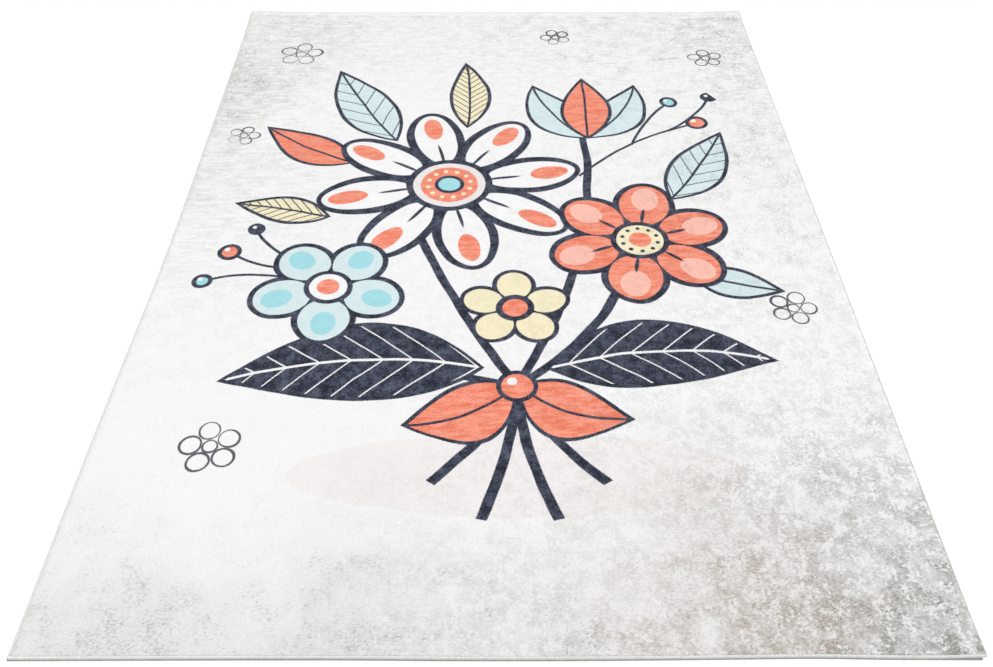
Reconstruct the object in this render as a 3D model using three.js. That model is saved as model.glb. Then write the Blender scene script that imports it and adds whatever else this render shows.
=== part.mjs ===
import * as THREE from 'three';
import { mergeVertices } from 'three/addons/utils/BufferGeometryUtils.js';

// A nursery rug: one flat piece of short printed pile cloth, overlocked with yarn along its four edges.
// Millimetres. The origin is the middle of the underside, on the floor. +X runs across the rug,
// +Y along it from the near end to the far end, and +Z up through the pile.

// Driving dimensions
const WIDTH = 1200;
const LENGTH = 1700;
const THICKNESS = 6;
const CLEARANCE = 0.3;

// The overlocked edging wraps round the rim of the cloth, which is pressed thinner inside it
const EDGING = { reach: 4, yarn: 1.2, round: 1.5, roundSteps: 3 };

// The pile leans away from the stitches over this much of the rim
const PILE_SHOULDER = { drop: 0.7, run: 1.4 };

// Grid of the cloth: columns across and rows along, closer together towards the edges
const GRID = { columns: 20, rows: 26, crowding: 0.75 };

// Corners that curl up off the floor: side is -1 or 1 along X, end is -1 or 1 along Y,
// and reach is measured along the two edges that meet there
const CURLS = [
  { side: 1, end: -1, rise: 4, reach: 75 },
  { side: -1, end: 1, rise: 4, reach: 140 },
  { side: 1, end: 1, rise: 4, reach: 130 },
];

// How far the left edge lies inside a straight line between its corners
const LEFT_EDGE = [
  { along: -850, inset: 0 },
  { along: -480, inset: 3.5 },
  { along: -80, inset: 10 },
  { along: 300, inset: 6.5 },
  { along: 850, inset: 0 },
];

// How far the near edge, which is slightly wavy, lies inside the full length,
// and how far into the rug its waves reach
const NEAR_EDGE = [
  { along: -600, inset: 0.8 },
  { along: -230, inset: 1.4 },
  { along: -30, inset: 0 },
  { along: 130, inset: 0.2 },
  { along: 290, inset: 1.6 },
  { along: 390, inset: 2.6 },
  { along: 490, inset: 1.1 },
  { along: 600, inset: 0.8 },
];
const NEAR_EDGE_DEPTH = 250;

const PILE_COLOUR = 0xe9e9e7;
const YARN_COLOUR = 0xf0f0ee;

const halfWidth = WIDTH / 2;
const halfLength = LENGTH / 2;

// Inset on a smooth curve through the rows of a table, at one place along the edge
function edgeInset(table, place) {
  const last = table.length - 1;
  const passed = table.filter((entry) => entry.along <= place).length;
  const row = Math.min(last - 1, Math.max(0, passed - 1));
  const from = table[row];
  const to = table[row + 1];
  const before = table[Math.max(0, row - 1)];
  const after = table[Math.min(last, row + 2)];
  const slopeFrom = (to.inset - before.inset) / (to.along - before.along);
  const slopeTo = (after.inset - from.inset) / (after.along - from.along);
  const span = to.along - from.along;
  const t = Math.min(1, Math.max(0, (place - from.along) / span));
  const blend = t * t * (3 - 2 * t);
  const bend = t * (1 - t) * ((1 - t) * slopeFrom - t * slopeTo) * span;
  return from.inset + (to.inset - from.inset) * blend + bend;
}

function cornerRise(x, y) {
  let rise = 0;
  for (const curl of CURLS) {
    const fromCorner = halfWidth - curl.side * x + halfLength - curl.end * y;
    const share = Math.max(0, 1 - fromCorner / curl.reach);
    rise += curl.rise * share * share;
  }
  return rise;
}

// Takes a point of the flat, square rug to where it lies on the floor
function laid(x, y, z) {
  const leftShare = (halfWidth - x) / WIDTH;
  const nearShare = Math.max(0, 1 - (y + halfLength) / NEAR_EDGE_DEPTH);
  return new THREE.Vector3(
    x + edgeInset(LEFT_EDGE, y) * leftShare,
    y + edgeInset(NEAR_EDGE, x) * nearShare,
    z + cornerRise(x, y),
  );
}

// Even steps from -1 to 1, drawn together towards both ends
function crowded(step) {
  return (1 - GRID.crowding) * step + GRID.crowding * Math.sin((step * Math.PI) / 2);
}

function moveVertices(geometry, move) {
  const position = geometry.attributes.position;
  for (let i = 0; i < position.count; i += 1) {
    const point = move(position.getX(i), position.getY(i), position.getZ(i));
    position.setXYZ(i, point.x, point.y, point.z);
  }
  geometry.deleteAttribute('normal');
  geometry.deleteAttribute('uv');
  const welded = mergeVertices(geometry, 1e-3);
  welded.computeVertexNormals();
  return welded;
}

// The cloth: a box whose side rows follow the rim's section, from the underside up
function clothGeometry() {
  const full = EDGING.reach + CLEARANCE;
  const rim = EDGING.yarn + CLEARANCE;
  const section = [
    { inset: full, height: 0 },
    { inset: full, height: rim },
    { inset: rim, height: rim },
    { inset: rim, height: THICKNESS - rim },
    { inset: full, height: THICKNESS - rim },
    { inset: full, height: THICKNESS - PILE_SHOULDER.drop },
    { inset: full + PILE_SHOULDER.run, height: THICKNESS },
  ];
  const levels = section.length - 1;
  const box = new THREE.BoxGeometry(2, 2, levels, GRID.columns, GRID.rows, levels);
  return moveVertices(box, (x, y, z) => {
    const { inset, height } = section[Math.round(z + levels / 2)];
    return laid(crowded(x) * (halfWidth - inset), crowded(y) * (halfLength - inset), height);
  });
}

// Section of the edging, open towards the cloth: x is the distance in from the rug's edge, y the height
function edgingSection() {
  const { reach, yarn, round, roundSteps } = EDGING;
  const section = new THREE.Shape();
  section.moveTo(reach, 0);
  section.lineTo(reach, yarn);
  section.lineTo(yarn, yarn);
  section.lineTo(yarn, THICKNESS - yarn);
  section.lineTo(reach, THICKNESS - yarn);
  section.lineTo(reach, THICKNESS);
  section.absarc(round, THICKNESS - round, round, Math.PI / 2, Math.PI, false);
  section.absarc(round, round, round, Math.PI, (Math.PI * 3) / 2, false);
  return new THREE.Shape(section.getPoints(roundSteps));
}

// One edging: place takes (inset, along, height) to the flat rug, with along from -1 to 1
function edgingGeometry(steps, place) {
  const run = new THREE.ExtrudeGeometry(edgingSection(), { depth: 2, steps, bevelEnabled: false });
  return moveVertices(run, (inset, height, depth) => {
    const flat = place(inset, crowded(depth - 1));
    return laid(flat.x, flat.y, height);
  });
}

const pile = new THREE.MeshStandardMaterial({ color: PILE_COLOUR, roughness: 0.95, metalness: 0 });
const yarn = new THREE.MeshStandardMaterial({ color: YARN_COLOUR, roughness: 0.8, metalness: 0 });

const rug = new THREE.Group();

function addPiece(name, geometry, material) {
  const piece = new THREE.Mesh(geometry, material.clone());
  piece.name = name;
  rug.add(piece);
}

addPiece('rug_cloth', clothGeometry(), pile);

// The end edgings run the full width, and the side edgings fit between them.
// Two of the four run backwards, so that their faces point out.
const sideHalf = halfLength - EDGING.reach - CLEARANCE;

addPiece('edging_near', edgingGeometry(GRID.columns, (inset, along) => ({
  x: along * halfWidth,
  y: inset - halfLength,
})), yarn);
addPiece('edging_far', edgingGeometry(GRID.columns, (inset, along) => ({
  x: -along * halfWidth,
  y: halfLength - inset,
})), yarn);
addPiece('edging_left', edgingGeometry(GRID.rows, (inset, along) => ({
  x: inset - halfWidth,
  y: -along * sideHalf,
})), yarn);
addPiece('edging_right', edgingGeometry(GRID.rows, (inset, along) => ({
  x: halfWidth - inset,
  y: along * sideHalf,
})), yarn);

export default rug;
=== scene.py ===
import math

import bpy
import numpy as np
from mathutils import Matrix, Vector


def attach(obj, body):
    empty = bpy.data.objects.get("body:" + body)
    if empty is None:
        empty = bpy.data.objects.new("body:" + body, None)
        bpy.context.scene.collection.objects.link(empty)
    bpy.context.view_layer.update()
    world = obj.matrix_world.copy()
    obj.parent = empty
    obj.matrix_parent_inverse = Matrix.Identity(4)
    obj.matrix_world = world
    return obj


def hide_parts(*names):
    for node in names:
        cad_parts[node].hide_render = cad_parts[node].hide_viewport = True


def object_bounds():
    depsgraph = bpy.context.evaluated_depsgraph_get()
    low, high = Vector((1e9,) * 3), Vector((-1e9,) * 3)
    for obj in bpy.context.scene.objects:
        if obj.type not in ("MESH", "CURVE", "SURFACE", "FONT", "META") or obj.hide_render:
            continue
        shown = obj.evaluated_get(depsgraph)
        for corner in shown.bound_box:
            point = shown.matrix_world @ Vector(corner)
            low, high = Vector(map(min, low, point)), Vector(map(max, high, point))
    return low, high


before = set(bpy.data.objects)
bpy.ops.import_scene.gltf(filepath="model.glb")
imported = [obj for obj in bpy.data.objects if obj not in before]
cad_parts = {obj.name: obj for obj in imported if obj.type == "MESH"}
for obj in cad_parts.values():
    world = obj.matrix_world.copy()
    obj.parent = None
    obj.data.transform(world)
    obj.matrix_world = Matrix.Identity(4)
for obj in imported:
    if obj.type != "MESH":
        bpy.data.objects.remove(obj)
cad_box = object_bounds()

# The camera stands over the near end of the rug and looks down its length, as in the photograph.
# Lengths are in metres here and all through, and angles in degrees.
CAMERA_PLACE = (-0.0036, -1.4229, 1.1239)
LOOKS_DOWN, TURNED, ROLLED = 44.44, -0.15, 0.07
LENS, SENSOR_WIDTH = 35.38, 36.0

bpy.ops.object.camera_add(location=CAMERA_PLACE)
camera = bpy.context.object
camera.name = "photo_camera"
camera.rotation_euler = (
    Matrix.Rotation(math.radians(TURNED), 3, "Z")
    @ Matrix.Rotation(math.radians(90 - LOOKS_DOWN), 3, "X")
    @ Matrix.Rotation(math.radians(ROLLED), 3, "Z")
).to_euler()
camera.data.lens = LENS
camera.data.sensor_width = SENSOR_WIDTH
camera.data.sensor_fit = "HORIZONTAL"
bpy.context.scene.camera = camera

# The rug cloth is one flat piece: a short velvety pile on a thin woven back, cut square. It lies on
# the floor with three corners a little curled, and its rim is pressed thin where the edging grips it.
HALF_WIDTH, HALF_LENGTH = cad_box[1].x, cad_box[1].y
THICKNESS = 0.006
PILE_INSET = 0.0032
RIM_INSET = 0.0014
RIM_FLOOR, RIM_TOP = 0.0022, 0.0044
PILE_SHOULDER, SHOULDER_STEPS = 0.0009, 3
CELL = 0.008
SAME_PLACE = 0.00001

CORNER_CURLS = [
    dict(side=1, end=-1, rise=0.004, reach=0.075),
    dict(side=-1, end=1, rise=0.004, reach=0.140),
    dict(side=1, end=1, rise=0.004, reach=0.130),
]
LEFT_EDGE = dict(
    along=(-0.85, -0.48, -0.08, 0.30, 0.85),
    inset=(0.0, 0.0035, 0.010, 0.0065, 0.0),
)
NEAR_EDGE = dict(
    along=(-0.60, -0.23, -0.03, 0.13, 0.29, 0.39, 0.49, 0.60),
    inset=(0.0008, 0.0014, 0.0, 0.0002, 0.0016, 0.0026, 0.0011, 0.0008),
)
NEAR_EDGE_DEPTH = 0.25


def edge_inset(edge, place):
    """How far an edge lies inside a straight line, on a smooth curve through its table."""
    along, inset = np.array(edge["along"]), np.array(edge["inset"])
    slope = np.empty(len(along))
    slope[1:-1] = (inset[2:] - inset[:-2]) / (along[2:] - along[:-2])
    slope[0] = (inset[1] - inset[0]) / (along[1] - along[0])
    slope[-1] = (inset[-1] - inset[-2]) / (along[-1] - along[-2])
    row = np.clip(np.searchsorted(along, place, side="right") - 1, 0, len(along) - 2)
    span = along[row + 1] - along[row]
    t = np.clip((place - along[row]) / span, 0, 1)
    blend = t * t * (3 - 2 * t)
    bend = t * (1 - t) * ((1 - t) * slope[row] - t * slope[row + 1]) * span
    return inset[row] + (inset[row + 1] - inset[row]) * blend + bend


def lay_down(piece):
    """Moves the vertices of a flat, square piece to where the rug lies on the floor."""
    flat = np.empty(len(piece.data.vertices) * 3)
    piece.data.vertices.foreach_get("co", flat)
    laid = flat.reshape(-1, 3)
    x, y = laid[:, 0].copy(), laid[:, 1].copy()
    laid[:, 0] += edge_inset(LEFT_EDGE, y) * (HALF_WIDTH - x) / (2 * HALF_WIDTH)
    near = np.clip(1 - (y + HALF_LENGTH) / NEAR_EDGE_DEPTH, 0, 1)
    laid[:, 1] += edge_inset(NEAR_EDGE, x) * near
    for curl in CORNER_CURLS:
        from_corner = HALF_WIDTH - curl["side"] * x + HALF_LENGTH - curl["end"] * y
        laid[:, 2] += curl["rise"] * np.clip(1 - from_corner / curl["reach"], 0, 1) ** 2
    piece.data.vertices.foreach_set("co", laid.ravel())
    piece.data.update()


def select_only(piece, domain, wanted):
    """In edit mode, selects the faces or edges that wanted accepts, and nothing else."""
    bpy.ops.mesh.select_mode(type={"edges": "EDGE", "polygons": "FACE"}[domain])
    bpy.ops.mesh.select_all(action="DESELECT")
    bpy.ops.object.mode_set(mode="OBJECT")
    for item in getattr(piece.data, domain):
        item.select = wanted(item)
    bpy.ops.object.mode_set(mode="EDIT")


bpy.ops.object.select_all(action="DESELECT")
bpy.ops.mesh.primitive_grid_add(
    x_subdivisions=round(2 * HALF_WIDTH / CELL),
    y_subdivisions=round(2 * HALF_LENGTH / CELL),
    size=2,
)
cloth = bpy.context.object
cloth.name = cloth.data.name = "printed_pile_cloth"
pile_half = Vector((HALF_WIDTH - PILE_INSET, HALF_LENGTH - PILE_INSET, 1))
rim_half = Vector((HALF_WIDTH - RIM_INSET, HALF_LENGTH - RIM_INSET, 1))
bpy.ops.object.mode_set(mode="EDIT")
bpy.ops.transform.resize(value=pile_half)
bpy.ops.mesh.extrude_region_move(TRANSFORM_OT_translate=dict(value=(0, 0, THICKNESS)))
for height in (RIM_FLOOR, RIM_TOP):
    bpy.ops.mesh.select_all(action="SELECT")
    bpy.ops.mesh.bisect(plane_co=(0, 0, height), plane_no=(0, 0, 1))
select_only(cloth, "polygons", lambda face: RIM_FLOOR < face.center.z < RIM_TOP)
bpy.ops.mesh.extrude_region_move()
bpy.ops.transform.resize(
    value=(rim_half.x / pile_half.x, rim_half.y / pile_half.y, 1), center_override=(0, 0, 0)
)
bpy.ops.mesh.select_all(action="SELECT")
bpy.ops.mesh.normals_make_consistent(inside=False)


def on_top_rim(edge):
    """Whether an edge lies on the outline of the pile's top face."""
    ends = [cloth.data.vertices[end].co for end in edge.vertices]
    on_side = all(abs(abs(end.x) - pile_half.x) < SAME_PLACE for end in ends)
    on_end = all(abs(abs(end.y) - pile_half.y) < SAME_PLACE for end in ends)
    return all(abs(end.z - THICKNESS) < SAME_PLACE for end in ends) and (on_side or on_end)


select_only(cloth, "edges", on_top_rim)
bpy.ops.mesh.bevel(offset=PILE_SHOULDER, segments=SHOULDER_STEPS, affect="EDGES")
bpy.ops.object.mode_set(mode="OBJECT")


# The ground is printed on the pile: a clean, nearly white middle with clouds and flecks of warm grey.
# They thicken into a worn, stony patch at the near right corner, stand apart at the near left one, and
# are drawn out into streaks at the far left and along the far end, where a lighter strip ends the print.
CLEAN, SOIL, SOIL_BEIGE = (248, 248, 248), (142, 142, 135), (176, 166, 157)

STAINS = [
    # The first row darkens the ground all along the near end, and the eighth row all along the far end.
    dict(across=0.00, along=-0.96, half_width=1.20, half_length=0.28, depth=0.22),
    dict(across=-0.20, along=-0.78, half_width=0.28, half_length=0.20, depth=0.10),
    dict(across=0.35, along=-0.68, half_width=0.15, half_length=0.22, depth=0.13),
    dict(across=0.58, along=-0.84, half_width=0.30, half_length=0.34, depth=0.30),
    dict(across=0.54, along=-0.52, half_width=0.24, half_length=0.20, depth=0.08),
    dict(across=0.58, along=0.34, half_width=0.18, half_length=0.42, depth=0.07),
    dict(across=0.56, along=0.72, half_width=0.20, half_length=0.18, depth=0.10),
    dict(across=0.00, along=0.92, half_width=0.90, half_length=0.44, depth=0.09),
    dict(across=-0.62, along=0.46, half_width=0.20, half_length=0.24, depth=0.17),
    dict(across=-0.52, along=0.68, half_width=0.28, half_length=0.30, depth=0.13),
    dict(across=-0.60, along=0.20, half_width=0.20, half_length=0.22, depth=0.10),
    dict(across=-0.56, along=-0.84, half_width=0.24, half_length=0.26, depth=0.18),
    dict(across=0.58, along=-0.84, half_width=0.09, half_length=0.06, depth=0.05),
    dict(across=0.32, along=-0.84, half_width=0.11, half_length=0.05, depth=0.12),
]
BEIGE = [
    dict(across=0.28, along=-0.76, half_width=0.26, half_length=0.24, depth=0.16),
    dict(across=0.04, along=-0.70, half_width=0.46, half_length=0.28, depth=0.04),
    dict(across=0.28, along=-0.47, half_width=0.16, half_length=0.07, depth=0.07),
    dict(across=-0.19, along=-0.79, half_width=0.09, half_length=0.10, depth=0.07),
]


class Tone:
    """A number, place or colour in the material in hand, to which Python's operators add nodes."""

    tree = None

    def __init__(self, socket):
        self.socket = socket

    @classmethod
    def node(cls, kind, settings, values, out=0):
        """Adds a node, with its settings first and then a value or link for each socket."""
        made = cls.tree.nodes.new("ShaderNode" + kind)
        for name, setting in settings.items():
            setattr(made, name, setting)
        for name, value in values.items():
            if isinstance(value, cls):
                cls.tree.links.new(value.socket, made.inputs[name])
            else:
                made.inputs[name].default_value = value
        return cls(made.outputs[out])

    def math(self, operation, *others):
        return self.node("Math", dict(operation=operation), dict(enumerate((self, *others))))

    def __add__(self, other):
        return self.math("ADD", other)

    def __sub__(self, other):
        return self.math("SUBTRACT", other)

    def __mul__(self, other):
        return self.math("MULTIPLY", other)

    def __rsub__(self, other):
        return self.node("Math", dict(operation="SUBTRACT"), {0: other, 1: self})

    def __abs__(self):
        return self.math("ABSOLUTE")

    __radd__ = __add__
    __rmul__ = __mul__


def screen_colour(red, green, blue):
    """The linear colour that a shader takes, from one as a screen shows it, from 0 to 255."""
    return (*(((c / 255 + 0.055) / 1.055) ** 2.4 for c in (red, green, blue)), 1)


def mix(share, start, end):
    """A colour between two others."""
    return Tone.node("Mix", dict(data_type="RGBA"), {0: share, 6: start, 7: end}, out=2)


def vector(operation, *values, out="Vector"):
    """Places or colours worked out one number at a time."""
    return Tone.node("VectorMath", dict(operation=operation), dict(enumerate(values)), out)


def rise(value, low, high, top=1.0):
    """0 below low and top above high, with a smooth rise between them."""
    values = {0: value, 1: low, 2: high, 4: top}
    return Tone.node("MapRange", dict(interpolation_type="SMOOTHSTEP"), values)


def clouds(place, per_metre, detail, roughness=0.5, out=0):
    """Uneven patches from 0 to 1, so many to the metre, broken up by finer ones."""
    values = {"Vector": place, "Scale": per_metre, "Detail": detail, "Roughness": roughness}
    return Tone.node("TexNoise", dict(noise_dimensions="2D"), values, out)


def drawn_out(place, turn, longer):
    """Places squeezed along a line at an angle, so that a pattern on them is drawn out that way."""
    values = {"Vector": place, "Rotation": (0, 0, math.radians(turn)), "Scale": (longer, 1, 1)}
    return Tone.node("Mapping", dict(vector_type="TEXTURE"), values)


def shifted(place, per_metre, reach, detail):
    """Places pushed about unevenly, so that outlines wander."""
    push = clouds(place, per_metre, detail, out="Color")
    return vector("MULTIPLY_ADD", push, (reach, reach, 0), place)


def from_oval(place, middle, half_length, half_width):
    """0 at the middle of an oval, 1 on its outline, and more outside it."""
    scale = (1 / half_length, 1 / half_width, 0)
    offset = (-middle[0] / half_length, -middle[1] / half_width, 0)
    return vector("LENGTH", vector("MULTIPLY_ADD", place, scale, offset), out="Value")


pile = bpy.data.materials.new("printed_pile")
pile.use_nodes = True
pile.node_tree.nodes.remove(pile.node_tree.nodes["Principled BSDF"])
Tone.tree = pile.node_tree
on_rug = Tone.node("TexCoord", {}, {}, out="Object")

STAIN_WANDERS = 0.24
STAIN_CORE, STAIN_RIM = 0.25, 1.15
stain_place = shifted(on_rug, per_metre=7, reach=STAIN_WANDERS, detail=3)


def spread_over(patches, least):
    """How thickly the soft ovals of a table lie over a place, with their outlines wandering."""
    thickness = least
    for patch in patches:
        middle = (patch["across"] + STAIN_WANDERS / 2, patch["along"] + STAIN_WANDERS / 2)
        away = from_oval(stain_place, middle, patch["half_width"], patch["half_length"])
        thickness = rise(away, STAIN_RIM, STAIN_CORE, patch["depth"]) + thickness
    return thickness


soiled = spread_over(STAINS, least=0.02)
beige = spread_over(BEIGE, least=0.0)

# The patterns that break the soil up, from the widest to the finest
cloudy = clouds(on_rug, per_metre=20, detail=5, roughness=0.8)
flakes = clouds(on_rug, per_metre=44, detail=5, roughness=0.9)
streaks = clouds(drawn_out(on_rug, turn=3, longer=4), per_metre=95, detail=4, roughness=0.8)
hatch = clouds(drawn_out(on_rug, turn=20, longer=2.4), per_metre=400, detail=2, roughness=0.7)
grain = clouds(on_rug, per_metre=420, detail=2, roughness=0.7)
ridges = dict(noise_dimensions="2D", noise_type="RIDGED_MULTIFRACTAL", normalize=True)
values = {"Vector": on_rug, "Scale": 130, "Detail": 2, "Roughness": 0.8}
hairs = Tone.node("TexNoise", ridges, values)

# Where on the rug the soil changes its character
STREAKED_MIDDLE, STREAKED_HALF_WIDTH, STREAKED_HALF_LENGTH = (-0.48, 0.30), 0.40, 0.50
from_streaked = from_oval(stain_place, STREAKED_MIDDLE, STREAKED_HALF_WIDTH, STREAKED_HALF_LENGTH)
streaked = rise(from_streaked, low=1.1, high=0.4)
across = vector("DOT_PRODUCT", stain_place, (1, 0, 0), out="Value")
along = vector("DOT_PRODUCT", stain_place, (0, 1, 0), out="Value")
far_end = rise(along, low=0.20, high=0.80)
right_side = rise(across, low=-0.1, high=0.6)
right_middle = right_side * rise(along, low=-0.40, high=0.10)
near_left = rise(across, low=0.10, high=-0.20) * rise(along, low=-0.10, high=-0.40)

# Torn flecks, which are streaks at the far end, lie thickest where the rug is soiled
broken = (streaks - flakes) * streaked.math("MAXIMUM", far_end * 0.6) + flakes
broken = broken + soiled * 0.14 + hatch * 0.16 + hairs * -0.20
flecked = rise(broken, low=0.51, high=0.61)
fleck_depth = right_side * (soiled * 0.48 + 0.10) + (soiled * 0.22 + 0.06) + streaked * 0.07
soil = (right_middle * -0.2 + (near_left * -0.6 + 1)) * fleck_depth * flecked
soil = (cloudy * 3.4 - 0.7) * soil

# A soft fog of soil lies under them, broken up at the far end and smoother at the near left
fog = (0.60 - right_side * 0.22) * soiled + beige
fog = (cloudy * (1.6 - near_left) + (near_left * 0.6 + 0.2)) * fog
soil = (far_end * (flecked * 1.2 - 0.60) + 1) * fog + soil
soil = (hatch * 1.2 + 0.40) * soil

# Small dark specks gather on the thickest clouds
speck_share = right_middle * 0.26 + near_left * 0.05 - right_side * 0.12
specked = hatch * 0.7 + cloudy * 0.8 + soiled * 0.45 + speck_share
soil = rise(specked, low=0.98, high=1.12, top=0.22) + soil

# Past a thin, slightly slanted line the strip at the far end is lighter
STRIP_START, STRIP_SLANT, STRIP_LIGHTER = 0.8225, 0.013, 0.40
LINE_HALF, LINE_SOFT, LINE_DEPTH = 0.0008, 0.0032, 0.14
past_line = vector("ADD", on_rug, (0, -STRIP_START, 0))
past_line = vector("DOT_PRODUCT", past_line, (STRIP_SLANT, 1, 0), out="Value")
soil = (1 - rise(past_line, low=-0.002, high=0.003, top=STRIP_LIGHTER)) * soil
soil = rise(abs(past_line), LINE_SOFT, LINE_HALF, LINE_DEPTH) * flecked + soil

BEIGE_SHOWS = 6
soil_tone = mix(beige * BEIGE_SHOWS, screen_colour(*SOIL), screen_colour(*SOIL_BEIGE))


# The posy is printed over the ground in flat inks with heavy drawn outlines: a daisy, a coral and an
# aqua flower, a bud, leaves and berries, tied with a bow, and small line flowers round about. The pile
# shows in the inks: the dark one is painted a lighter slate blue where its tufts lean, as a painted
# sheen, and the coral has fine streaks.
NAVY_DEEP, NAVY_SHEEN_LIT = (14, 22, 40), (92, 98, 120)
CORAL_DEEP, CORAL_BRIGHT, CORAL_PALE = (240, 124, 94), (255, 166, 142), (255, 196, 180)
AQUA, AQUA_STRONG = (219, 237, 240), (168, 225, 233)
YELLOW, BLUSH, WHITE = (249, 239, 204), (241, 236, 236), (250, 250, 250)
LINE_GREY, WASH = (86, 88, 96), (245, 242, 241)
WASH_MIDDLE, WASH_HALF_WIDTH, WASH_HALF_LENGTH = (0.03, -0.57), 0.33, 0.075
TUFT = 0.0012
OUTLINE, LEAF_RIB, LEAF_VEIN = 0.008, 0.0026, 0.0034
HAND_WANDERS, PILE_WANDERS = 0.012, 0.0018
STEM_THICK, TWIG_THICK = 0.016, 0.006
LEAF_TAPER, LEAF_LEAST, VEIN_SLANT = 0.3, 0.4, 2.2
PEN_VARIES, PEN_LIFTS = 0.0046, 0.0008
LINE_PETALS, LINE_PETALS_OUT, LINE_EYE = 5, 1.9, 0.7

# Painted sheen: the navy is mixed towards a lighter slate blue where the leaning tufts would catch the
# light.
leaning_sheen = rise(flakes * 2.4 + grain, low=1.36, high=2.26)
navy = mix(leaning_sheen, screen_colour(*NAVY_DEEP), screen_colour(*NAVY_SHEEN_LIT))
bright = rise(streaks * 2.0 + grain, low=1.2, high=1.8)
coral = mix(bright, screen_colour(*CORAL_DEEP), screen_colour(*CORAL_BRIGHT))
coral_pale, blush, white = (screen_colour(*ink) for ink in (CORAL_PALE, BLUSH, WHITE))
aqua, aqua_strong, yellow = (screen_colour(*ink) for ink in (AQUA, AQUA_STRONG, YELLOW))


def cover(distance, edge=0.0, scale=1.0):
    """How much ink lies where: all of it where a distance is under edge, and none past a tuft more."""
    values = {0: distance, 1: -scale / TUFT, 2: 0.5 + edge * scale / TUFT}
    return Tone.node("Math", dict(operation="MULTIPLY_ADD", use_clamp=True), values)


def measured(spot, turn, length=1.0):
    """How far the print's places lie from a spot along a line at an angle, as a share of a length."""
    along_x, along_y = math.cos(math.radians(turn)), math.sin(math.radians(turn))
    start = -(spot[0] * along_x + spot[1] * along_y)
    line = (along_x / length, along_y / length, start / length)
    return vector("DOT_PRODUCT", drawn, line, out="Value")


def onward(spot, turn, length):
    """The spot that lies so far from another, at an angle."""
    turn = math.radians(turn)
    return spot[0] + length * math.cos(turn), spot[1] + length * math.sin(turn)


def bowed(foot, turn, length, bend):
    """Distances along a bowed line, from -1 to 1, and away from it, and how far it bends there."""
    middle = onward(foot, turn, length / 2)
    along = measured(middle, turn, length / 2)
    reach = 1 - along * along
    away = abs(reach.math("MULTIPLY_ADD", -bend, measured(middle, turn + 90)))
    return along, away, reach


def bunched(stems):
    """How far a place lies from the middle of the nearest bowed stem, or past its end."""
    nearest = None
    for foot, tip, bend in stems:
        turn = math.degrees(math.atan2(tip[1] - foot[1], tip[0] - foot[0]))
        length = math.dist(foot, tip)
        along, away, reach = bowed(foot, turn, length, bend)
        outside = away.math("MAXIMUM", reach * (-length / 4))
        nearest = outside if nearest is None else nearest.math("MINIMUM", outside)
    return nearest


def leaf(under, foot, turn, length, width, bend, fill, vein, pitch=0.0):
    """A pointed leaf that grows from its foot, with a rib, and veins if it has a pitch for them."""
    along, away, reach = bowed(foot, turn, length, bend)
    fullness = (1 - along * LEAF_TAPER).math("MAXIMUM", LEAF_LEAST)
    outside = (reach * fullness).math("MULTIPLY_ADD", -width / 2, away)
    under = mix(cover(outside), under, navy)
    inside = cover(outside, -OUTLINE)
    if fill != navy:
        under = mix(inside, under, fill)
    lines = cover(away, LEAF_RIB)
    if pitch:
        slanted = away.math("MULTIPLY_ADD", -VEIN_SLANT / length, along)
        veins = slanted.math("PINGPONG", pitch / length)
        lines = lines.math("MAXIMUM", cover(veins, LEAF_VEIN / length, length / 2))
    return mix(lines * inside, under, vein)


def flower(middle, turn):
    """Distance from a flower's middle, and direction from it."""
    radius = vector("DISTANCE", drawn, (*middle, 1), out="Value")
    return radius, measured(middle, turn + 90).math("ARCTAN2", measured(middle, turn))


def petal_of(radius, angle, count):
    """Places along and across the nearest of so many petals."""
    folded = angle.math("PINGPONG", math.pi / count)
    values = {0: radius * folded.math("COSINE"), 1: radius * folded.math("SINE")}
    return Tone.node("CombineXYZ", {}, values)


def bloom(under, middle, turn, reach, petals, layers, rings, dots=None):
    """A flower: ovals repeated round its middle, then rings, then a circle of dots."""
    radius, angle = flower(middle, turn)
    petal = petal_of(radius, angle, petals)
    for start, half_length, half_width, colour in layers:
        away = from_oval(petal, (start * reach, 0), half_length * reach, half_width * reach)
        under = mix(cover(away, 1.0, half_width * reach), under, colour)
    for size, colour in rings:
        under = mix(cover(radius, size * reach), under, colour)
    if dots:
        count, at, size, colour = dots
        dot = vector("DISTANCE", petal_of(radius, angle, count), (at * reach, 0, 0), out="Value")
        under = mix(cover(dot, size * reach), under, colour)
    return under


def berry(under, middle, size, colour):
    """A round berry with a light spot."""
    away = vector("DISTANCE", drawn, (*middle, 1), out="Value")
    under = mix(cover(away, size), under, navy)
    under = mix(cover(away, size - OUTLINE), under, colour)
    spot = (middle[0] - size * 0.25, middle[1] + size * 0.3, 1)
    return mix(cover(vector("DISTANCE", drawn, spot, out="Value"), size * 0.24), under, white)


drawn = shifted(on_rug, per_metre=6, reach=HAND_WANDERS, detail=2)
drawn = shifted(drawn, per_metre=700, reach=PILE_WANDERS, detail=0)
back_again = -(HAND_WANDERS + PILE_WANDERS) / 2
drawn = vector("MULTIPLY_ADD", drawn, (1, 1, 0), (back_again, back_again, 1))

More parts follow.
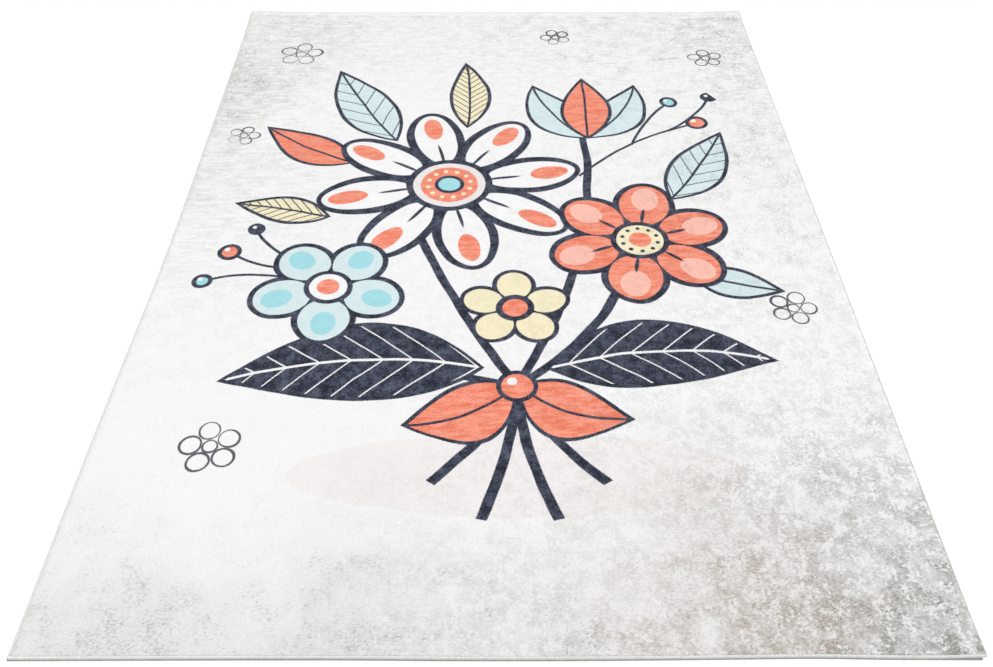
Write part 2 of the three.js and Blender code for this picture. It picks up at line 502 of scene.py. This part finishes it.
wash = from_oval(drawn, WASH_MIDDLE, WASH_HALF_WIDTH, WASH_HALF_LENGTH)
wash = cover(wash, edge=1.0, scale=WASH_HALF_LENGTH)
ground_ink = mix(wash, screen_colour(*CLEAN), screen_colour(*WASH))
line_weight = clouds(on_rug, per_metre=14, detail=1) * PEN_VARIES - PEN_LIFTS
for middle, turn, size in (
    ((-0.45, 0.64), 10, 0.017),
    ((0.14, 0.72), 40, 0.012),
    ((0.48, 0.62), 25, 0.013),
    ((-0.52, 0.30), 0, 0.011),
    ((0.50, -0.22), 70, 0.014),
    ((-0.42, -0.52), 30, 0.016),
):
    radius, angle = flower(middle, turn)
    petal = petal_of(radius, angle, LINE_PETALS)
    outline = abs(vector("DISTANCE", petal, (size * LINE_PETALS_OUT, 0, 0), out="Value") - size)
    outline = outline.math("MINIMUM", abs(radius - size * LINE_EYE)) - line_weight
    ground_ink = mix(cover(outline), ground_ink, screen_colour(*LINE_GREY))

TIE = (0.03, -0.40)
STEMS = (
    (TIE, (-0.20, 0.17), 0.02),
    (TIE, (0.25, 0.0), -0.05),
    (TIE, (-0.33, -0.18), 0.04),
    (TIE, (0.17, 0.39), -0.06),
    (TIE, (-0.09, -0.58), 0.01),
    (TIE, (-0.02, -0.64), 0.01),
    (TIE, (0.08, -0.64), -0.01),
    (TIE, (0.15, -0.58), -0.01),
)
TWIGS = (
    ((0.165, 0.16), (0.42, 0.35), 0.02),
    ((0.28, 0.27), (0.37, 0.43), 0.01),
    ((0.347, 0.314), (0.46, 0.45), -0.012),
    ((-0.33, -0.16), (-0.51, -0.15), -0.02),
    ((-0.35, -0.12), (-0.475, -0.075), 0.01),
    ((-0.35, -0.10), (-0.44, -0.01), 0.01),
)
posy_ink = mix(cover(bunched(STEMS), STEM_THICK / 2), ground_ink, navy)
posy_ink = mix(cover(bunched(TWIGS), TWIG_THICK / 2), posy_ink, navy)

LEAVES = (
    dict(
        foot=(-0.02, -0.36), turn=184, length=0.42, width=0.17, bend=-0.03,
        fill=navy, vein=white, pitch=0.05,
    ),
    dict(
        foot=(0.08, -0.36), turn=2, length=0.37, width=0.15, bend=0.03,
        fill=navy, vein=white, pitch=0.05,
    ),
    dict(
        foot=(-0.20, 0.28), turn=118, length=0.32, width=0.12, bend=0.01,
        fill=aqua, vein=navy, pitch=0.045,
    ),
    dict(
        foot=(-0.06, 0.33), turn=92, length=0.27, width=0.09, bend=-0.01,
        fill=yellow, vein=navy, pitch=0.02,
    ),
    dict(
        foot=(0.33, 0.08), turn=60, length=0.27, width=0.11, bend=-0.01,
        fill=aqua, vein=navy, pitch=0.04,
    ),
    dict(
        foot=(-0.31, 0.03), turn=168, length=0.19, width=0.08, bend=0.0,
        fill=yellow, vein=navy, pitch=0.02,
    ),
    dict(
        foot=(-0.28, 0.20), turn=146, length=0.24, width=0.10, bend=0.01,
        fill=coral, vein=navy,
    ),
    dict(
        foot=(0.34, -0.14), turn=-14, length=0.16, width=0.08, bend=0.0,
        fill=aqua, vein=navy,
    ),
    dict(
        foot=(0.19, 0.29), turn=118, length=0.24, width=0.11, bend=0.02,
        fill=aqua, vein=navy,
    ),
    dict(
        foot=(0.19, 0.29), turn=62, length=0.24, width=0.11, bend=-0.02,
        fill=aqua, vein=navy,
    ),
    dict(
        foot=(0.19, 0.29), turn=90, length=0.24, width=0.11, bend=0.0,
        fill=coral, vein=navy,
    ),
)
for shape in LEAVES:
    posy_ink = leaf(posy_ink, **shape)

posy_ink = bloom(
    posy_ink, middle=(-0.09, 0.13), turn=12, reach=0.26, petals=8,
    layers=(
        (0.60, 0.40, 0.225, navy),
        (0.62, 0.340, 0.160, white),
        (0.76, 0.150, 0.075, coral),
        (0.40, 0.130, 0.014, navy),
    ),
    rings=((0.32, navy), (0.27, blush), (0.215, coral), (0.110, navy), (0.08, aqua_strong)),
    dots=(12, 0.16, 0.018, yellow),
)
posy_ink = bloom(
    posy_ink, middle=(0.26, -0.04), turn=20, reach=0.17, petals=6,
    layers=(
        (0.60, 0.42, 0.35, navy),
        (0.61, 0.35, 0.275, coral),
        (0.72, 0.20, 0.15, coral_pale),
        (0.42, 0.12, 0.022, navy),
    ),
    rings=((0.31, navy), (0.25, yellow), (0.12, coral)),
    dots=(10, 0.19, 0.024, navy),
)
posy_ink = bloom(
    posy_ink, middle=(-0.29, -0.17), turn=55, reach=0.135, petals=5,
    layers=(
        (0.58, 0.44, 0.40, navy),
        (0.59, 0.36, 0.32, aqua),
        (0.66, 0.20, 0.16, aqua_strong),
    ),
    rings=((0.31, navy), (0.24, white), (0.14, coral)),
)
posy_ink = bloom(
    posy_ink, middle=(0.03, -0.22), turn=90, reach=0.095, petals=5,
    layers=((0.58, 0.44, 0.40, navy), (0.59, 0.35, 0.31, yellow)),
    rings=((0.35, navy), (0.23, coral)),
)

for turn, bend in ((204, 0.02), (-20, -0.02)):
    posy_ink = leaf(posy_ink, TIE, turn, length=0.19, width=0.12, bend=bend, fill=coral, vein=navy)
posy_ink = berry(posy_ink, TIE, size=0.034, colour=coral)

for middle, size, colour in (
    ((0.42, 0.35), 0.024, coral),
    ((0.37, 0.43), 0.020, aqua_strong),
    ((0.46, 0.45), 0.018, navy),
    ((-0.475, -0.075), 0.022, coral),
    ((-0.44, -0.01), 0.016, navy),
    ((-0.51, -0.15), 0.018, aqua_strong),
):
    posy_ink = berry(posy_ink, middle, size, colour)


# The inks sit in a short, matt velvet pile, whose tufts stand unevenly, and the staining of the ground
# runs on over them. The posy is worked out inside one oval, which just cuts into its outermost berry,
# and past the oval only the ground is.
POSY_MIDDLE, POSY_HALF_WIDTH, POSY_HALF_LENGTH = (0.0, -0.02), 0.60, 0.76

clean_share = tuple(1 / part for part in screen_colour(*CLEAN)[:3])
stain_share = vector("MULTIPLY", mix(soil, screen_colour(*CLEAN), soil_tone), clean_share)
stain_share = vector("MULTIPLY", stain_share, grain * 0.12 + 0.94)
nap = Tone.node("Bump", {}, {"Height": grain, "Strength": 0.5, "Distance": TUFT})
near_posy = from_oval(on_rug, POSY_MIDDLE, POSY_HALF_WIDTH, POSY_HALF_LENGTH).math("LESS_THAN", 1.0)


def velvet(print_ink):
    """The pile with one print on it."""
    finish = {"Roughness": 0.95, "Sheen Weight": 0.1, "Sheen Roughness": 0.5, "Normal": nap}
    colour = vector("MULTIPLY", print_ink, stain_share)
    return Tone.node("BsdfPrincipled", {}, {"Base Color": colour, **finish})


pile_shader = Tone.node("MixShader", {}, {0: near_posy, 1: velvet(ground_ink), 2: velvet(posy_ink)})
surface = pile.node_tree.nodes["Material Output"].inputs["Surface"]
pile.node_tree.links.new(pile_shader.socket, surface)
cloth.data.materials.append(pile)


# The back of the cloth, which the photograph doesn't show, is taken to be a plain weave of natural
# cotton yarn, a little slubby, with the pile bound into it and no lining over it.
WEAVE_PITCH, WEAVE_DEPTH = 0.0032, 0.0005
THREAD_WAVERS = 1.2
COTTON_SHADED, COTTON = (196, 190, 176), (232, 227, 215)

woven_back = bpy.data.materials.new("woven_back")
woven_back.use_nodes = True
Tone.tree = woven_back.node_tree
on_back = Tone.node("TexCoord", {}, {}, out="Object")
slub = Tone.node("TexNoise", {}, {"Vector": on_back, "Scale": 150, "Detail": 4, "Roughness": 0.7})
thread_turn = 2 * math.pi / WEAVE_PITCH
warp = vector("DOT_PRODUCT", on_back, (thread_turn, 0, 0), out="Value") + slub * THREAD_WAVERS
weft = vector("DOT_PRODUCT", on_back, (0, thread_turn, 0), out="Value") + slub * THREAD_WAVERS
raised = warp.math("SINE") * weft.math("SINE") * 0.4 + slub
# The cotton is painted darker where the threads dip under one another, a painted shade, and the slubs
# vary it too.
cotton = mix(raised, screen_colour(*COTTON_SHADED), screen_colour(*COTTON))
weave = Tone.node("Bump", {}, {"Height": raised, "Strength": 0.8, "Distance": WEAVE_DEPTH})
back_shader = woven_back.node_tree.nodes["Principled BSDF"]
back_shader.inputs["Roughness"].default_value = 0.95
woven_back.node_tree.links.new(cotton.socket, back_shader.inputs["Base Color"])
woven_back.node_tree.links.new(weave.socket, back_shader.inputs["Normal"])

cloth.data.materials.append(woven_back)
for face in cloth.data.polygons:
    face.material_index = 1 if face.center.z < RIM_FLOOR / 2 and face.normal.z < -0.5 else 0


# A flat map is laid out, on which the cloth's colours can be baked. The pile's face fills most
# of it, then come the four rims, each on a strip of its own, and the back on a narrower one.
FACE_SHARE, RIM_STARTS, RIM_SHARE, BACK_START = 0.72, (0.74, 0.77, 0.80, 0.83), 0.02, 0.87
SECTION_LOW, SECTION_HIGH = -PILE_INSET, THICKNESS + PILE_INSET
SMOOTH_BELOW = math.radians(50)

bake_map = cloth.data.uv_layers.new(name="OFBake")
for face in cloth.data.polygons:
    from_side, from_end = HALF_WIDTH - abs(face.center.x), HALF_LENGTH - abs(face.center.y)
    on_side = from_side < from_end
    rim = (0 if face.center.x < 0 else 1) if on_side else (2 if face.center.y < 0 else 3)
    for corner in face.loop_indices:
        x, y, z = cloth.data.vertices[cloth.data.loops[corner].vertex_index].co
        across, along = x / (2 * HALF_WIDTH) + 0.5, y / (2 * HALF_LENGTH) + 0.5
        if face.normal.z > 0.5 and face.center.z > RIM_TOP + SAME_PLACE:
            place = (across * FACE_SHARE, along)
        elif face.material_index == 1:
            place = (BACK_START + across * (1 - BACK_START), along)
        else:
            inset = HALF_WIDTH - abs(x) if on_side else HALF_LENGTH - abs(y)
            round_section = z + inset if z > THICKNESS / 2 else z - inset
            round_section = (round_section - SECTION_LOW) / (SECTION_HIGH - SECTION_LOW)
            place = (RIM_STARTS[rim] + RIM_SHARE * round_section, along if on_side else across)
        bake_map.data[corner].uv = place

lay_down(cloth)
bpy.ops.object.shade_smooth_by_angle(angle=SMOOTH_BELOW)
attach(cloth, "root")
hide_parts("rug_cloth")


# Each edge is overlocked by machine: soft off-white yarn is wrapped round the pressed rim in close,
# slightly slanted loops, which fan out round the corners, and a needle thread catches their inner ends.
YARN_THICK, YARN_WIDE, YARN_SIDES = 0.0009, 0.0021, 6
PLIES_ROUND, PLIES_ACROSS = 38, 5
YARN_SHADED, YARN_BRIGHT = (246, 246, 243), (255, 255, 253)
LOOP_PITCH = 0.002
LOOP_INNER, LOOP_OUTER = 0.0029, 0.0005
LOOP_WAVERS = 0.00012
LOOP_TOP, LOOP_FLOOR = 0.00545, 0.0013
LOOP_ROUND, LOOP_SLANT = 0.0013, 0.0007
CORNER_REACH, CORNER_LOOPS = 0.003, 6
LOOP_TURN_STEPS = 3
NEEDLE_STITCH, NEEDLE_THREAD, NEEDLE_SUNK = 0.004, 0.0005, 0.0002


def extruded(x, y, z):
    """Pulls the selected end of a yarn out by so much."""
    bpy.ops.mesh.extrude_region_move(TRANSFORM_OT_translate=dict(value=(x, y, z)))


def spun(y, z):
    """Leads the selected end of a yarn round a quarter turn, from the top down and then inwards."""
    quarter = math.radians(-90)
    bpy.ops.mesh.spin(steps=LOOP_TURN_STEPS, angle=quarter, center=(0, y, z), axis=(1, 0, 0))


bpy.ops.object.select_all(action="DESELECT")
bpy.ops.mesh.primitive_circle_add(
    vertices=YARN_SIDES, radius=YARN_THICK / 2, fill_type="NGON", rotation=(math.radians(90), 0, 0)
)
loop = bpy.context.object
loop.name = loop.data.name = "yarn_loop"
bpy.ops.object.transform_apply()
bpy.ops.object.mode_set(mode="EDIT")
bpy.ops.mesh.select_all(action="SELECT")
bpy.ops.transform.resize(value=(YARN_WIDE / YARN_THICK, 1, 1))
bpy.ops.transform.translate(value=(0, LOOP_INNER, LOOP_TOP))
flat_run = LOOP_INNER - LOOP_OUTER - LOOP_ROUND
extruded(0, -flat_run, 0)
spun(LOOP_OUTER + LOOP_ROUND, LOOP_TOP - LOOP_ROUND)
extruded(0, 0, LOOP_FLOOR - LOOP_TOP + 2 * LOOP_ROUND)
spun(LOOP_OUTER + LOOP_ROUND, LOOP_FLOOR + LOOP_ROUND)
extruded(0, flat_run, 0)
bpy.ops.mesh.select_all(action="SELECT")
bpy.ops.mesh.remove_doubles(threshold=SAME_PLACE / 10)
bpy.ops.mesh.normals_make_consistent(inside=False)
bpy.ops.object.mode_set(mode="OBJECT")

LOOP_MIDDLE = (LOOP_TOP + LOOP_FLOOR) / 2
corners = np.array([vertex.co for vertex in loop.data.vertices])
round_rim = np.arctan2(corners[:, 2] - LOOP_MIDDLE, LOOP_INNER + YARN_THICK - corners[:, 1])
round_rim /= np.abs(round_rim).max()
across_yarn = corners[:, 0] / YARN_WIDE
corners[:, 0] += LOOP_SLANT * round_rim
loop.data.vertices.foreach_set("co", corners.ravel())
yarn_map = loop.data.uv_layers.new(name="yarn_map")
for corner, place in zip(loop.data.loops, yarn_map.data):
    place.uv = (round_rim[corner.vertex_index], across_yarn[corner.vertex_index])
for face in loop.data.polygons:
    face.use_smooth = len(face.vertices) == 4

bpy.ops.object.select_all(action="DESELECT")
bpy.ops.mesh.primitive_circle_add(
    vertices=YARN_SIDES, radius=NEEDLE_THREAD / 2, fill_type="NGON", rotation=(0, math.radians(90), 0)
)
stitch = bpy.context.object
stitch.name = stitch.data.name = "needle_stitch"
bpy.ops.object.transform_apply()
bpy.ops.object.mode_set(mode="EDIT")
bpy.ops.mesh.select_all(action="SELECT")
bpy.ops.transform.translate(value=(-NEEDLE_STITCH / 2, LOOP_INNER, LOOP_TOP - NEEDLE_SUNK))
bpy.ops.transform.resize(value=(1, 0.5, 0.5))
for grows, rises in ((2.0, NEEDLE_THREAD), (1.0, 0.0), (1.0, 0.0), (0.5, -NEEDLE_THREAD)):
    extruded(NEEDLE_STITCH / 4, 0, rises)
    bpy.ops.transform.resize(value=(1, grows, grows))
bpy.ops.mesh.select_all(action="SELECT")
bpy.ops.mesh.normals_make_consistent(inside=False)
bpy.ops.object.mode_set(mode="OBJECT")
for face in stitch.data.polygons:
    face.use_smooth = len(face.vertices) == 4
stitch.data.uv_layers.new(name="yarn_map")


CHANCE_SEED = 4
chance = np.random.default_rng(CHANCE_SEED)


def repeated(unit, count, pitch, start, wavers=0.0):
    """A row of copies along X of one stitch, joined as one mesh, each a little out of place."""
    bpy.ops.object.select_all(action="DESELECT")
    row = unit.copy()
    row.data = unit.data.copy()
    bpy.context.collection.objects.link(row)
    bpy.context.view_layer.objects.active = row
    row.select_set(True)
    array = row.modifiers.new("row", "ARRAY")
    array.count = count
    array.use_relative_offset = False
    array.use_constant_offset = True
    array.constant_offset_displace = (pitch, 0, 0)
    bpy.ops.object.modifier_apply(modifier="row")
    places = np.array([vertex.co for vertex in row.data.vertices])
    share = np.clip(places[:, 1] / LOOP_INNER, 0, 1)
    out_of_place = chance.normal(0, wavers, (count, 2)).repeat(len(unit.data.vertices), axis=0)
    places[:, :2] += out_of_place * share[:, None]
    row.data.vertices.foreach_set("co", places.ravel())
    row.location.x = start
    bpy.ops.object.transform_apply()
    return row


def fanned(unit, half_run, side):
    """The loops that turn one corner, from the end of a straight run."""
    turned = []
    for step in range(CORNER_LOOPS):
        copy = unit.copy()
        copy.data = unit.data.copy()
        bpy.context.collection.objects.link(copy)
        turn = math.radians(90 * (step + 0.5) / CORNER_LOOPS)
        pivot = Matrix.Translation((side * (half_run - CORNER_REACH), CORNER_REACH, 0))
        to_pivot = Matrix.Translation((0, -CORNER_REACH, 0))
        copy.data.transform(pivot @ Matrix.Rotation(side * turn, 4, "Z") @ to_pivot)
        turned.append(copy)
    return turned


yarn = bpy.data.materials.new("edging_yarn")
yarn.use_nodes = True
Tone.tree = yarn.node_tree
on_edge = Tone.node("TexCoord", {}, {}, out="Object")
on_yarn = Tone.node("UVMap", dict(uv_map="yarn_map"), {})
round_rim = Tone.node("SeparateXYZ", {}, {0: on_yarn}, out="X")
across_yarn = Tone.node("SeparateXYZ", {}, {0: on_yarn}, out="Y")
plies = (round_rim * PLIES_ROUND + across_yarn * PLIES_ACROSS).math("SINE")
fuzz = Tone.node("TexNoise", {}, {"Vector": on_edge, "Scale": 2600, "Detail": 3, "Roughness": 0.7})
spool = Tone.node("TexNoise", {}, {"Vector": on_edge, "Scale": 160, "Detail": 3, "Roughness": 0.6})
spool_tone = rise(spool, low=0.35, high=0.65)
yarn_tone = mix(spool_tone, screen_colour(*YARN_SHADED), screen_colour(*YARN_BRIGHT))
# The yarn is painted a little darker in the grooves between its plies, as painted shade.
yarn_tone = vector("MULTIPLY", yarn_tone, plies * 0.02 + fuzz * 0.06 + 0.96)
yarn_shader = yarn.node_tree.nodes["Principled BSDF"]
yarn_shader.inputs["Roughness"].default_value = 0.8
yarn_shader.inputs["Sheen Weight"].default_value = 0.4
yarn.node_tree.links.new(yarn_tone.socket, yarn_shader.inputs["Base Color"])
raised = plies * 0.5 + fuzz * 0.8
twist = Tone.node("Bump", {}, {"Height": raised, "Strength": 0.4, "Distance": YARN_THICK / 3})
yarn.node_tree.links.new(twist.socket, yarn_shader.inputs["Normal"])

for side, turn, half_run, half_reach in (
    ("near", 0, HALF_WIDTH, HALF_LENGTH),
    ("right", 90, HALF_LENGTH, HALF_WIDTH),
    ("far", 180, HALF_WIDTH, HALF_LENGTH),
    ("left", 270, HALF_LENGTH, HALF_WIDTH),
):
    straight = half_run - CORNER_REACH
    loops = round(2 * straight / LOOP_PITCH)
    stitches = round(2 * straight / NEEDLE_STITCH)
    edging = repeated(loop, loops, 2 * straight / loops, -straight + LOOP_PITCH / 2, LOOP_WAVERS)
    needle_line = repeated(stitch, stitches, 2 * straight / stitches, -straight + NEEDLE_STITCH / 2)
    corners = fanned(loop, half_run, 1) + fanned(loop, half_run, -1) if turn in (0, 180) else []
    bpy.ops.object.select_all(action="DESELECT")
    for part in (needle_line, *corners, edging):
        part.select_set(True)
    bpy.context.view_layer.objects.active = edging
    bpy.ops.object.join()
    edging.name = edging.data.name = f"overlocked_edging_{side}"
    out_to_edge = Matrix.Translation((0, -half_reach, 0))
    edging.data.transform(Matrix.Rotation(math.radians(turn), 4, "Z") @ out_to_edge)
    lay_down(edging)
    edging.data.materials.append(yarn)
    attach(edging, "root")
    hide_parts(f"edging_{side}")
bpy.data.objects.remove(loop)
bpy.data.objects.remove(stitch)


# The rug lies on a plain white studio floor, under a soft, even light from all round and a broad lamp
# high up at the right and a little behind it, so that faint shadows fall to the left and the front.
FLOOR_SIZE, FLOOR_BELOW = 60, 0.0003
FLOOR_WHITE = 0.96

bpy.ops.object.select_all(action="DESELECT")
bpy.ops.mesh.primitive_plane_add(size=FLOOR_SIZE, location=(0, 0, -FLOOR_BELOW))
floor = bpy.context.object
floor.name = floor.data.name = "studio_floor"
paint = bpy.data.materials.new("studio_paint")
paint.use_nodes = True
paint_shader = paint.node_tree.nodes["Principled BSDF"]
paint_shader.inputs["Base Color"].default_value = (FLOOR_WHITE, FLOOR_WHITE, FLOOR_WHITE, 1)
paint_shader.inputs["Roughness"].default_value = 1.0
paint_shader.inputs["Specular IOR Level"].default_value = 0.0
floor.data.materials.append(paint)

SKY_LIGHT, LAMP_LIGHT = 0.32, 2.60
LAMP_FALLS, LAMP_BREADTH = (-0.55, -0.12, -1.0), 8

world = bpy.data.worlds.new("studio_light")
bpy.context.scene.world = world
world.use_nodes = True
world.node_tree.nodes["Background"].inputs["Color"].default_value = (1, 1, 1, 1)
world.node_tree.nodes["Background"].inputs["Strength"].default_value = SKY_LIGHT
bpy.ops.object.light_add(type="SUN")
lamp = bpy.context.object
lamp.name = "broad_lamp"
lamp.rotation_euler = Vector(LAMP_FALLS).to_track_quat("-Z", "Y").to_euler()
lamp.data.energy = LAMP_LIGHT
lamp.data.angle = math.radians(LAMP_BREADTH)
bpy.context.scene.view_settings.view_transform = "Standard"
